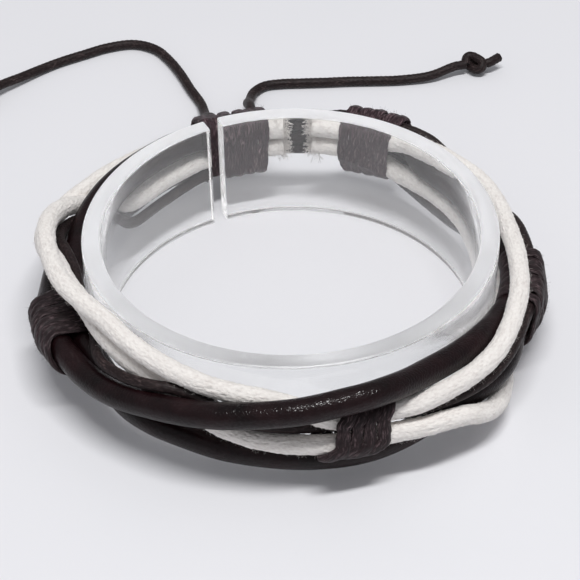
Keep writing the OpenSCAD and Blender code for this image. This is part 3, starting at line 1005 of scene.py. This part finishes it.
@dataclass(frozen=True)
class LeatherFinish(CordFinish):
    """Dark leather: fine grain, a satin gloss that the grain breaks up, and faint scuffs."""

    dark: Colour = (0.003, 0.0011, 0.0013, 1)
    warm: Colour = (0.0135, 0.0036, 0.0047, 1)
    scuff: Colour = (0.05, 0.036, 0.035, 1)
    scuff_range: Range = (0.55, 1.0)
    scuff_share: float = 0.35
    thread_scale: float = 2600.0
    thread_stretch: float = 0.25
    thread_height: float = 0.4
    blotch_size: float = 6 * MM
    pore_scale: float = 3000.0
    crease_scale: float = 1900.0
    crease_width: float = 0.12
    grain_share: float = 0.5
    roughness: Range = (0.36, 0.5)
    specular: float = 0.08
    pore_range: Range = (0.15, 0.6)
    gloss: Range = (0.45, 0.27)
    gloss_index: float = 1.5
    gloss_roughness: float = 0.05
    gloss_bump: float = 0.34
    bump: float = 0.5
    bump_depth: float = 0.1 * MM

    def make(self) -> bpy.types.Material:
        """Builds the finish's nodes.

        Returns:
            The material.
        """
        material, n, shader = self._start()
        space = self._space(n)
        threads, blotch = self._effects(n, space)
        pore, edge = (
            n.add("ShaderNodeTexVoronoi", {"Vector": space, "Scale": scale}, feature=kind).outputs["Distance"]
            for scale, kind in ((self.pore_scale, "F1"), (self.crease_scale, "DISTANCE_TO_EDGE"))
        )
        crease = n.scaled(edge, 0.0, self.crease_width)
        grain = n.total(n.product(pore, self.grain_share), n.product(crease, self.grain_share))
        height = n.total(grain, n.product(threads["Height"], self.thread_height))
        colour = self._mixed(n, blotch["Mask"], self.dark, self.warm)
        patches = n.scaled(blotch["Mask"], *self.scuff_range, 0.0, self.scuff_share)
        n.feed(shader, {
            "Base Color": self._mixed(n, n.product(threads["Mask"], patches), colour, self.scuff),
            "Roughness": n.scaled(blotch["Mask"], 0.0, 1.0, *self.roughness),
            "Normal": self._bump(n, height, self.bump, self.bump_depth),
            "Specular IOR Level": self.specular,
            "Coat Weight": n.scaled(pore, *self.pore_range, *self.gloss),
            "Coat IOR": self.gloss_index,
            "Coat Roughness": self.gloss_roughness,
            "Coat Normal": self._bump(n, grain, self.gloss_bump, self.bump_depth),
        })
        return material


@dataclass(frozen=True)
class ClearFinish(Finish):
    """Clear plastic: frosted rims, clear walls with hairline scratches and slow ripples from the mould, and a
    painted glow: emission over the walls, strongest at their foot, and on the rims.
    """

    tint: Colour = (0.995, 1.0, 1.0, 1)
    cloud: Colour = (0.985, 0.992, 0.992, 1)
    cloud_range: Range = (0.35, 0.7)
    ripple_scale: float = 90.0
    hairline_scale: float = 700.0
    hairline_squeeze: float = 9.0
    hairline_range: Range = (0.4, 0.8)
    hairline_height: float = 0.05
    roughness: Range = (0.02, 0.07)
    rim_roughness: float = 0.26
    rim_range: Range = (19.4 * MM, 19.8 * MM)
    foot_range: Range = (6.2 * MM, 8.8 * MM)
    # painted glow: these set the plastic's emission on the rims, at the foot of the wall and, faintly, over
    # the rest of it; it is no lamp, and it is tinted warm
    frost: float = 0.03
    foot: float = 0.06
    haze: float = 0.008
    warmth: float = 0.985
    transmission: float = 0.985
    index: float = 1.45
    specular: float = 0.32
    passed: float = 0.8
    bump: float = 0.12
    bump_depth: float = 0.4 * MM

    def _alpha(self, n: Nodes) -> bpy.types.NodeSocket:
        """Full for the eye; lets lamp light from outside, and scattered light, straight through.

        Args:
            n: What adds the nodes.

        Returns:
            The alpha.
        """
        ray = n.add("ShaderNodeLightPath").outputs
        outside = n.math("LESS_THAN", n.math("MODULO", ray["Transmission Depth"], 2.0), 0.5)
        lit = n.math("MAXIMUM", n.product(ray["Is Shadow Ray"], outside), ray["Is Diffuse Ray"])
        return n.math("SUBTRACT", 1.0, n.product(lit, self.passed))

    def make(self) -> bpy.types.Material:
        """Builds the finish's nodes.

        Returns:
            The material.
        """
        material, n, shader = self._start()
        place = n.add("ShaderNodeTexCoord").outputs["Object"]
        ripple = n.noise(place, self.ripple_scale, detail=1.0)
        squeezed = n.vector("MULTIPLY", place, (1.0, 1.0, self.hairline_squeeze))
        hairline = n.noise(squeezed, self.hairline_scale, detail=3.0)
        level = n.add("ShaderNodeSeparateXYZ", {0: place}).outputs[2]
        rim = n.scaled(level, *self.rim_range)
        smooth = n.scaled(hairline, *self.hairline_range, *self.roughness)
        # painted glow: emission strongest at the foot of the wall, faint above it, with more on the rims,
        # tinted warm
        low = n.scaled(level, *self.foot_range, self.foot, self.haze)
        glow = n.total(n.product(rim, self.frost), low)
        warm = n.product(glow, self.warmth)
        height = n.total(ripple, n.product(hairline, self.hairline_height))
        n.feed(shader, {
            "Base Color": self._mixed(n, n.scaled(ripple, *self.cloud_range), self.tint, self.cloud),
            "Roughness": n.total(smooth, n.product(rim, self.rim_roughness)),
            "Normal": self._bump(n, height, self.bump, self.bump_depth),
            "Transmission Weight": self.transmission,
            "IOR": self.index,
            "Specular IOR Level": self.specular,
            "Emission Color": n.combine(glow, warm, warm),
            "Emission Strength": 1.0,
            "Alpha": self._alpha(n),
        })
        return material


@dataclass(frozen=True)
class FloorFinish(Finish):
    """The pale matt surface that the bracelet stands on."""

    light: Colour = (0.80, 0.795, 0.82, 1)
    shade: Colour = (0.785, 0.785, 0.81, 1)
    cloud_scale: float = 14.0
    cloud_range: Range = (0.3, 0.7)
    roughness: float = 0.8
    specular: float = 0.2

    def make(self) -> bpy.types.Material:
        """Builds the finish's nodes.

        Returns:
            The material.
        """
        material, n, shader = self._start()
        cloud = n.noise(n.add("ShaderNodeTexCoord").outputs["Object"], self.cloud_scale, detail=2.0)
        n.feed(shader, {
            "Base Color": self._mixed(n, n.scaled(cloud, *self.cloud_range), self.light, self.shade),
            "Roughness": self.roughness,
            "Specular IOR Level": self.specular,
        })
        return material


# the bindings' copy: its paler crest fibres, brighter than the running cord's, are partly wear and partly
# painted highlight
BOUND_FINISH = WaxedFinish(
    "waxed_cord_bound",
    deep=(0.008, 0.0044, 0.005, 1), body=(0.017, 0.0088, 0.0102, 1), worn=(0.21, 0.15, 0.16, 1),
)
# a lighter copy for the closure bindings, which stand in the ring's shade: painted light, on top of the crest
# fibres' partial painted highlight
LIT_COPY_FINISH = WaxedFinish(
    "waxed_cord_lit_copy",
    deep=(0.012, 0.0062, 0.0078, 1), body=(0.032, 0.0155, 0.02, 1), worn=(0.38, 0.27, 0.29, 1),
)


class Slot(Enum):
    """The record's material slots."""

    CLEAR = "clear_plastic"
    LEATHER = "leather"
    WHITE = "white_cord"
    WAXED = "waxed_cord"


@dataclass
class Palette:
    """The finishes as materials, made once."""

    leather: bpy.types.Material = field(default_factory=LeatherFinish("dark_leather").make)
    cotton: bpy.types.Material = field(default_factory=CottonFinish("white_cotton").make)
    waxed: bpy.types.Material = field(default_factory=WaxedFinish("waxed_cord_brown").make)
    bound: bpy.types.Material = field(default_factory=BOUND_FINISH.make)
    # the lighter copy: painted light for the closure bindings, which stand in shade
    pressed: bpy.types.Material = field(default_factory=LIT_COPY_FINISH.make)
    clear: bpy.types.Material = field(default_factory=ClearFinish("clear_plastic_ring").make)
    floor: bpy.types.Material = field(default_factory=FloorFinish("pale_surface").make)


def settle(obj: bpy.types.Object, slot: Slot, *nodes: str) -> bpy.types.Object:
    """Makes a finished piece ride on the body and stand for its CAD nodes, which it hides.

    Args:
        obj: The piece.
        slot: The record's slot for its finish; not used.
        nodes: The CAD nodes that it stands for.

    Returns:
        The piece.
    """
    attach(obj, ROOT)
    if nodes:
        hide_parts(*nodes)
    LOG.info("%s: %d faces", obj.name, len(obj.data.polygons))
    return obj


# ---------------------------------------------------------------------------
# Camera, light and surface
# ---------------------------------------------------------------------------


@dataclass
class Studio:
    """The camera at the photo's angle, a soft lamp in a pale room, and the pale surface."""

    eye: Place = (-0.000242, -0.214196, 0.188435)
    pitch: float = 49.724
    roll: float = -1.094
    lens: float = 108.62
    sensor: float = 36.0
    nearest: float = 0.01
    room: Colour = (0.95, 0.96, 1.0, 1)
    sky: float = 0.36
    lamp: Place = (0.04, -0.17, 0.74)
    lamp_size: Range = (0.42, 0.07)
    watts: float = 4.3
    bounces: int = 28
    reach: float = 1.6
    floor_drop: float = 0.02 * MM

    def build(self, palette: Palette) -> None:
        """Adds all of it to the scene.

        Args:
            palette: The materials.
        """
        self._camera()
        self._lights()
        mesh = bpy.data.meshes.new("surface")
        corners = ((-1, -1), (1, -1), (1, 1), (-1, 1))
        places = [(x * self.reach, y * self.reach, -self.floor_drop) for x, y in corners]
        mesh.from_pydata(places, [], [(0, 1, 2, 3)])
        mesh.materials.append(palette.floor)
        linked("surface", mesh)

    def _camera(self) -> None:
        """The camera that took the photo's view."""
        data = bpy.data.cameras.new("view")
        data.lens, data.sensor_width, data.clip_start = self.lens, self.sensor, self.nearest
        camera = bpy.data.objects.new("view", data)
        pitch = Euler((math.radians(self.pitch), 0, 0)).to_matrix()
        turn = pitch @ Matrix.Rotation(math.radians(self.roll), 3, "Z")
        camera.matrix_world = Matrix.Translation(self.eye) @ turn.to_4x4()
        bpy.context.scene.collection.objects.link(camera)
        bpy.context.scene.camera = camera

    def _lights(self) -> None:
        """The pale room, and the lamp above, which points at the origin."""
        scene = bpy.context.scene
        scene.view_settings.view_transform = "Standard"
        for kind in ("max_bounces", "transmission_bounces", "glossy_bounces", "diffuse_bounces"):
            setattr(scene.cycles, kind, self.bounces)
        world = bpy.data.worlds.new("room")
        world.use_nodes = True
        back = world.node_tree.nodes["Background"]
        back.inputs[0].default_value, back.inputs[1].default_value = self.room, self.sky
        scene.world = world
        data = bpy.data.lights.new("key", "AREA")
        data.shape = "RECTANGLE"
        data.size, data.size_y = self.lamp_size
        data.energy = self.watts
        lamp = bpy.data.objects.new("key", data)
        aim = (-Vector(self.lamp)).to_track_quat("-Z", "Y").to_matrix()
        lamp.matrix_world = Matrix.Translation(self.lamp) @ aim.to_4x4()
        scene.collection.objects.link(lamp)


# ---------------------------------------------------------------------------
# The display ring
# ---------------------------------------------------------------------------


@dataclass
class DisplayRing:
    """The clear ring with a narrow slit, its edges softly rounded; sizes in millimetres."""

    outer: float = RING_RADIUS
    inner: float = 29.5
    height: float = 20.0
    slit: float = 2.4
    slit_angle: float = 114.0
    round: float = 0.45
    corner_steps: int = 4
    steps: int = 300
    # How far from the slit's face, and how far the section is drawn in there
    soft_edge: Rows = ((0, 0.18), (0.05, 0.07), (0.18, 0))
    sharp_angle: float = 38.0

    def _section(self, inset: float) -> list[tuple[float, float]]:
        """The wall's section.

        Args:
            inset: How far it is drawn in on every side.

        Returns:
            Its points, as radius and height.
        """
        radius = self.round
        low, high = inset + radius, self.height - inset - radius
        inner, outer = self.inner + inset + radius, self.outer - inset - radius
        points = []
        for r, z, start in ((outer, low, -90), (outer, high, 0), (inner, high, 90), (inner, low, 180)):
            for k in range(self.corner_steps + 1):
                a = math.radians(start + 90 * k / self.corner_steps)
                points.append((r + radius * math.cos(a), z + radius * math.sin(a)))
        return points

    def _stations(self) -> list[tuple[float, float]]:
        """Where the wall's sections stand.

        Returns:
            Degrees from the slit's middle, and how far the section is drawn in there.
        """
        half = math.degrees(self.slit / (self.inner + self.outer))
        ends = [(half + math.degrees(lag / self.inner), inset) for lag, inset in self.soft_edge]
        first = ends[-1][0]
        middle = [(first + (360 - 2 * first) * k / self.steps, 0.0) for k in range(1, self.steps)]
        return ends + middle + [(360 - angle, inset) for angle, inset in reversed(ends)]

    def build(self, palette: Palette) -> bpy.types.Object:
        """The ring as one closed mesh.

        Args:
            palette: The materials.

        Returns:
            The ring.
        """
        stations = self._stations()
        vertices, faces = [], []
        sides = len(self._section(0))
        for angle, inset in stations:
            a = math.radians(self.slit_angle + angle)
            vertices += [
                (r * math.cos(a) * MM, r * math.sin(a) * MM, z * MM) for r, z in self._section(inset)
            ]
        for i in range(len(stations) - 1):
            for k in range(sides):
                p, q = i * sides + k, i * sides + (k + 1) % sides
                faces.append((p, q, q + sides, p + sides))
        faces += [tuple(range(sides))[::-1], tuple(range(len(vertices) - sides, len(vertices)))]
        mesh = bpy.data.meshes.new("clear_ring")
        mesh.from_pydata(vertices, [], faces)
        mesh.materials.append(palette.clear)
        outward(mesh)
        mesh.shade_smooth()
        obj = linked("clear_ring", mesh)
        mesh.set_sharp_from_angle(angle=math.radians(self.sharp_angle))
        return settle(obj, Slot.CLEAR, "display_ring")


# ---------------------------------------------------------------------------
# The cords round the ring
# ---------------------------------------------------------------------------


@dataclass
class LeatherCords:
    """The two round leather cords."""

    strand: Strand = Strand(radius=2 * MM, sides=64, uneven=0.035, uneven_size=7 * MM)

    def build(self, palette: Palette) -> None:
        """Both cords, in place of their CAD nodes.

        Args:
            palette: The materials.
        """
        for index, (name, node, rows) in enumerate((
            ("leather_cord_upper", "leather_upper", LEATHER_UPPER_ROUTE),
            ("leather_cord_lower", "leather_lower", LEATHER_LOWER_ROUTE),
        )):
            obj = self.strand.build(name, looped_path(rows), palette.leather, seed=3.0 * index)
            settle(obj, Slot.LEATHER, node)


@dataclass
class CottonCords:
    """The two white cords, their loose fibres and their frayed cut ends."""

    strand: Strand = Strand(
        radius=1.52 * MM, sides=72, step=0.2 * MM, yarns=9, yarn_depth=0.032, lay=8.5 * MM,
        uneven=0.13, uneven_size=2.4 * MM, crumple=0.26, crumple_size=0.42 * MM,
    )
    fuzz: Fibres = Fibres(density=2.4e6, length=0.5 * MM, thickness=0.007 * MM)
    tufts: Fibres = Fibres(density=2.2e7, length=1.35 * MM, thickness=0.032 * MM)
    fray: float = 1.6 * MM

    def build(self, palette: Palette) -> None:
        """Both cords with their fibres, in place of their CAD nodes.

        Args:
            palette: The materials.
        """
        for index, (name, node, rows) in enumerate((
            ("cotton_cord_a", "white_cord_a", WHITE_CORD_A_ROUTE),
            ("cotton_cord_b", "white_cord_b", WHITE_CORD_B_ROUTE),
        )):
            cord = self.strand.build(name, looped_path(rows), palette.cotton, seed=5.0 + index)
            settle(cord, Slot.WHITE, node)
            settle(self.fuzz.build(cord, palette.cotton, seed=11 + index), Slot.WHITE)
            settle(self._frayed(cord, palette, seed=21 + index), Slot.WHITE)

    def _frayed(self, cord: bpy.types.Object, palette: Palette, seed: int) -> bpy.types.Object:
        """The tufts at a cord's two cut ends.

        Args:
            cord: The finished cord.
            palette: The materials.
            seed: What sets the tufts apart.

        Returns:
            Both tufts as one object.
        """
        mesh = cord.data
        space = np.empty(len(mesh.vertices) * 3, np.float32)
        mesh.attributes["cord_space"].data.foreach_get("vector", space)
        along = space.reshape(-1, 3)[:, 2]
        near = (along < self.fray) | (along > along.max() - self.fray)
        kept = [list(face.vertices) for face in mesh.polygons if all(near[i] for i in face.vertices)]
        index = {old: new for new, old in enumerate(sorted({i for face in kept for i in face}))}
        ends = bpy.data.meshes.new(cord.name + "_ends")
        places = corner_points(mesh)[sorted(index)].tolist()
        ends.from_pydata(places, [], [[index[i] for i in face] for face in kept])
        base = bpy.data.objects.new(cord.name + "_ends", ends)
        tufts = self.tufts.build(base, palette.cotton, seed)
        bpy.data.objects.remove(base)
        return tufts


WAXED_STRAND = Strand(
    radius=0.9 * MM, sides=36, step=0.2 * MM, yarns=6, yarn_depth=0.09, lay=5.4 * MM,
    uneven=0.08, uneven_size=2 * MM,
)


@dataclass
class WaxedCords:
    """The waxed cord that runs with the others, and the doubled drawcords of the closure."""

    strand: Strand = WAXED_STRAND

    def build(self, palette: Palette) -> None:
        """All three, in place of their CAD nodes.

        Args:
            palette: The materials.
        """
        cord = self.strand.build("waxed_strand", looped_path(WAXED_CORD_ROUTE), palette.waxed, seed=9.0)
        settle(cord, Slot.WAXED, "waxed_cord")
        for index, (name, node, rows) in enumerate((
            ("pull_cord_upper", "drawcord_upper", DRAWCORD_UPPER_ROUTE),
            ("pull_cord_lower", "drawcord_lower", DRAWCORD_LOWER_ROUTE),
        )):
            path = smooth_path(round_ring(*np.array(rows, float).T), side=(0.0, 1.0, 0.0))
            settle(self.strand.build(name, path, palette.waxed, seed=12.0 + index), Slot.WAXED, node)


# ---------------------------------------------------------------------------
# Bindings
# ---------------------------------------------------------------------------


@dataclass
class Binding:
    """Turns of flattened waxed cord, wound tightly round the cords that they bind.

    Angles are in degrees; thickness, thin, gap and middle are in millimetres. The strand slips aside by about
    loose, a share of the pitch, and its size varies by about swell, a share of itself.
    """

    name: str
    node: str
    cords: Sequence[tuple[Rows, float]]
    start: float
    end: float
    turns: float
    lean: float = 0.0
    thickness: float = 0.5
    thin: float = 0.1
    gap: float = 0.03
    loose: float = 0.11
    swell: float = 0.14
    begin: float = 0.0
    # pressed picks the lighter copy of the finish: painted light for bindings that stand in shade
    pressed: bool = False
    seed: int = 0
    turn_points: int = 110
    turn_slips: int = 3
    hull_points: int = 240
    facings: int = 721
    flatness: float = 0.7
    # How far outside the ring the pitch is measured, and half the strand's width as a share of it
    middle: float = 4.0
    cover: float = 0.66
    fuzz: Fibres = Fibres(density=1.3e6, length=0.5 * MM, thickness=0.009 * MM)

    def _hull(self, angle: float) -> tuple[Array, Array]:
        """The line round the bound cords at an angle.

        Args:
            angle: Where round the ring.

        Returns:
            The points as distance outside the ring and height, evenly spaced from the inner side, and the
            direction that each faces, in degrees.
        """
        circle = np.array([(*read_route(rows, np.array([angle]))[0], radius) for rows, radius in self.cords])
        facing = np.linspace(-180, 180, self.facings)
        d = np.radians(facing)
        reach = circle[:, :1] * np.cos(d) + circle[:, 1:2] * np.sin(d) + circle[:, 2:]
        best = circle[np.argmax(reach, axis=0)]
        points = best[:, :2] + best[:, 2:] * np.stack([np.cos(d), np.sin(d)], -1)
        keys = distances(points)
        at = np.linspace(0, keys[-1], self.hull_points + 1)
        spread = np.stack([np.interp(at, keys, points[:, k]) for k in range(2)], -1)
        return spread, np.interp(at, keys, facing)

    def _outline(self, angle: float, share: float) -> tuple[float, float, float]:
        """A point on the line round the bound cords.

        Args:
            angle: Where round the ring.
            share: How far round the cords, from 0 to 1.

        Returns:
            The point's distance outside the ring, its height and the way that it faces, in radians.
        """
        hull, facing = self._hull(angle)
        at, order = share * (len(hull) - 1), np.arange(len(hull))
        out, height = (float(np.interp(at, order, hull[:, k])) for k in range(2))
        return out, height, math.radians(float(np.interp(at, order, facing)))

    def _place(self, turn: float, slip: float, size: float) -> tuple[Array, Place, float]:
        """Where the wound strand's middle runs.

        Args:
            turn: Turns wound so far.
            slip: How far the strand has slipped aside, in pitches.
            size: How large the strand is there, as a share.

        Returns:
            The point and the way that it faces, and half the strand's thickness, in metres.
        """
        span = self.end - self.start
        progress = min(max((turn - 0.5) / (self.turns - 1), 0.0), 1.0)
        angle = self.start + span * progress + span / self.turns * slip
        share = (turn + self.begin) % 1.0
        place = angle - self.lean * math.sin(self._outline(angle, share)[2])
        out, height, d = self._outline(place, share)
        outer = (0.5 + 0.5 * math.cos(d)) ** self.flatness
        half = (self.thin + (self.thickness - self.thin) * outer) * size
        lift = self.gap + half
        point = round_ring(
            np.array([place]), np.array([out + lift * math.cos(d)]), np.array([height + lift * math.sin(d)])
        )[0]
        a = math.radians(place)
        return point, (math.cos(d) * math.cos(a), math.cos(d) * math.sin(a), math.sin(d)), half * MM

    def build(self, palette: Palette) -> bpy.types.Object:
        """The binding as one wound strand, with its loose fibres.

        Args:
            palette: The materials.

        Returns:
            The wound strand.
        """
        rng = np.random.default_rng(40 + self.seed)
        wound = np.linspace(0, self.turns, int(self.turn_points * self.turns) + 1)
        knots = np.arange(int(self.turns) * self.turn_slips + 2) / self.turn_slips
        slips = np.interp(wound, knots, rng.normal(0, self.loose, len(knots)))
        sizes = 1 + np.interp(wound, knots, rng.normal(0, self.swell, len(knots)))
        points, sides, halves = zip(*map(self._place, wound, slips, sizes))
        pitch = abs(math.radians((self.end - self.start) / self.turns)) * (RING_RADIUS + self.middle)
        strand = Strand(
            radius=pitch * self.cover * MM, sides=40, step=0.2 * MM, yarns=4, yarn_depth=0.1, lay=24 * MM,
            uneven=0.42, uneven_size=1.3 * MM, crumple=0.36, crumple_size=0.6 * MM,
        )
        # the closure bindings take the lighter copy: painted light
        finish = palette.pressed if self.pressed else palette.bound
        obj = strand.build(
            self.name, Path(np.array(points), np.array(sides)), finish, seed=20.0 + self.seed,
            half_out=np.array(halves), half_side=strand.radius * sizes,
        )
        settle(self.fuzz.build(obj, palette.waxed, seed=60 + self.seed), Slot.WAXED)
        return settle(obj, Slot.WAXED, self.node)


@dataclass
class Bindings:
    """The five bindings; the cords' radii in millimetres."""

    leather: float = 2.0
    white: float = 1.5
    waxed: float = 0.9
    # Heights of the drawcords' two halves in the closure, on its left and on its right
    drawn: Rows = ((14.3, 15.3), (8.1, 9.2))

    def build(self, palette: Palette) -> None:
        """All five, in place of their CAD nodes.

        Args:
            palette: The materials.
        """
        upper, lower = (LEATHER_UPPER_ROUTE, self.leather), (LEATHER_LOWER_ROUTE, self.leather)
        white_a, white_b = (WHITE_CORD_A_ROUTE, self.white), (WHITE_CORD_B_ROUTE, self.white)
        thin = (WAXED_CORD_ROUTE, self.waxed)
        drawn = [
            (((90, 6, left), (120, 6, left), (415, 6, right), (440, 6, right)), self.waxed)
            for left, right in self.drawn
        ]
        every = (upper, lower, white_a, white_b, thin, *drawn)
        closure = {"thin": 0.19, "begin": 0.5, "pressed": True}
        front = (white_a, white_b, thin)
        for seed, (name, node, cords, start, end, turns, more) in enumerate((
            ("binding_front", "wrap_front", front, 279.0, 288.1, 4.0, {"lean": -3.5, "loose": 0.06}),
            ("binding_left", "wrap_left", (upper, lower), 192.8, 207.2, 6.0, {"lean": 3.0}),
            ("binding_right", "wrap_right", (upper, lower, thin), 341.6, 357.6, 6.0, {"lean": -2.0}),
            ("closure_binding_left", "closure_wrap_left", every, 97.6, 114.0, 6.0, closure),
            ("closure_binding_right", "closure_wrap_right", every, 420.0, 433.4, 5.0, closure),
        ), start=1):
            Binding(name, node, cords, start, end, turns, seed=seed, **more).build(palette)


# ---------------------------------------------------------------------------
# Tails
# ---------------------------------------------------------------------------


@dataclass
class Tails:
    """The two loose ends of the closure, lying on the surface, each with its knot."""

    diameter: float = 1.8 * MM
    strand: Strand = WAXED_STRAND

    def build(self, palette: Palette) -> None:
        """Both tails and both knots, in place of their CAD nodes.

        Args:
            palette: The materials.
        """
        for index, (side, rows) in enumerate((("left", TAIL_LEFT_ROUTE), ("right", TAIL_RIGHT_ROUTE))):
            route = np.array(rows) * MM
            path = smooth_path(route, side=(0.0, 0.0, 1.0))
            tail = self.strand.build(f"tail_cord_{side}", path, palette.waxed, seed=30.0 + index)
            settle(tail, Slot.WAXED, f"tail_{side}")
            knot = self._knot(side, route, palette)

    def _knot(self, side: str, route: Array, palette: Palette) -> bpy.types.Object:
        """The knot at a tail's end, with the bare end behind it.

        Args:
            side: Which tail.
            route: The tail's route, in metres.
            palette: The materials.

        Returns:
            The knot.
        """
        end, direction = route[-1], unit(route[-1] - route[-2])
        across = unit(np.cross((0, 0, 1.0), direction))
        axes = np.array([direction, across, np.cross(direction, across)])
        points = end + (np.array(KNOT_ROUTE) * MM) @ axes
        obj = self.strand.build(f"tail_knot_{side}", smooth_path(points), palette.waxed, seed=34.0)
        return settle(obj, Slot.WAXED, f"knot_{side}")


def main() -> None:
    """Builds every sub-assembly in order."""
    logging.basicConfig(level=logging.INFO, format="%(message)s")
    palette = Palette()
    Studio().build(palette)
    for part in (Tails(), DisplayRing(), LeatherCords(), CottonCords(), WaxedCords(), Bindings()):
        part.build(palette)
        LOG.info("%s done", type(part).__name__)


if __name__ == "__main__":
    main()
